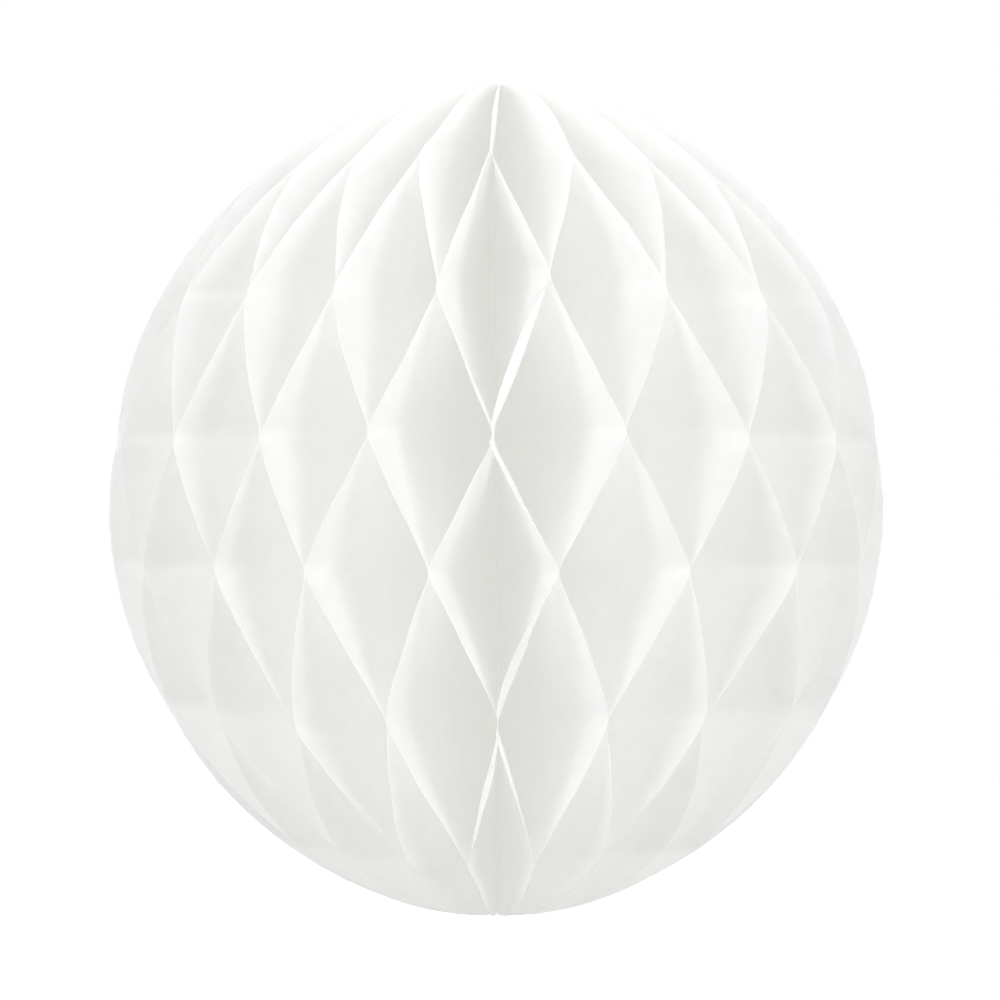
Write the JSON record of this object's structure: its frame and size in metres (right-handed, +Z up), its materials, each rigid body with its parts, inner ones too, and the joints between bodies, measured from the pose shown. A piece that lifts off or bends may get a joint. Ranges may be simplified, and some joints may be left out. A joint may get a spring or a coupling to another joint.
{
  "type": "honeycomb paper ball",
  "caption": "Round party decoration of white tissue leaves fanned round a spine and glued in staggered lines, so that they open into diamond honeycomb cells; hung by its top pole",
  "frame": {"origin": "middle of the ball, halfway between its poles on the spine", "axes": "+Z up along the spine from the lower pole to the top pole; -Y is the front, with +X to its right"},
  "size_m": [0.0929, 0.0929, 0.1],
  "materials": {
    "tissue_paper": "matte",
    "cotton_cord": "matte"
  },
  "bodies": {
    "root": {"leaf_01": "tissue_paper", "leaf_02": "tissue_paper", "leaf_03": "tissue_paper", "leaf_04": "tissue_paper", "leaf_05": "tissue_paper", "leaf_06": "tissue_paper", "leaf_07": "tissue_paper", "leaf_08": "tissue_paper", "leaf_09": "tissue_paper", "leaf_10": "tissue_paper", "leaf_11": "tissue_paper", "leaf_12": "tissue_paper", "leaf_13": "tissue_paper", "leaf_14": "tissue_paper", "leaf_15": "tissue_paper", "leaf_16": "tissue_paper", "leaf_17": "tissue_paper", "leaf_18": "tissue_paper", "leaf_19": "tissue_paper", "leaf_20": "tissue_paper", "leaf_21": "tissue_paper", "leaf_22": "tissue_paper", "leaf_23": "tissue_paper", "leaf_24": "tissue_paper", "leaf_25": "tissue_paper", "leaf_26": "tissue_paper", "leaf_27": "tissue_paper", "leaf_28": "tissue_paper", "leaf_29": "tissue_paper", "leaf_30": "tissue_paper", "leaf_31": "tissue_paper", "leaf_32": "tissue_paper", "leaf_33": "tissue_paper", "leaf_34": "tissue_paper", "leaf_35": "tissue_paper", "leaf_36": "tissue_paper", "leaf_37": "tissue_paper", "leaf_38": "tissue_paper", "leaf_39": "tissue_paper", "leaf_40": "tissue_paper", "spine_cord": "cotton_cord"}
  },
  "joints": []
}
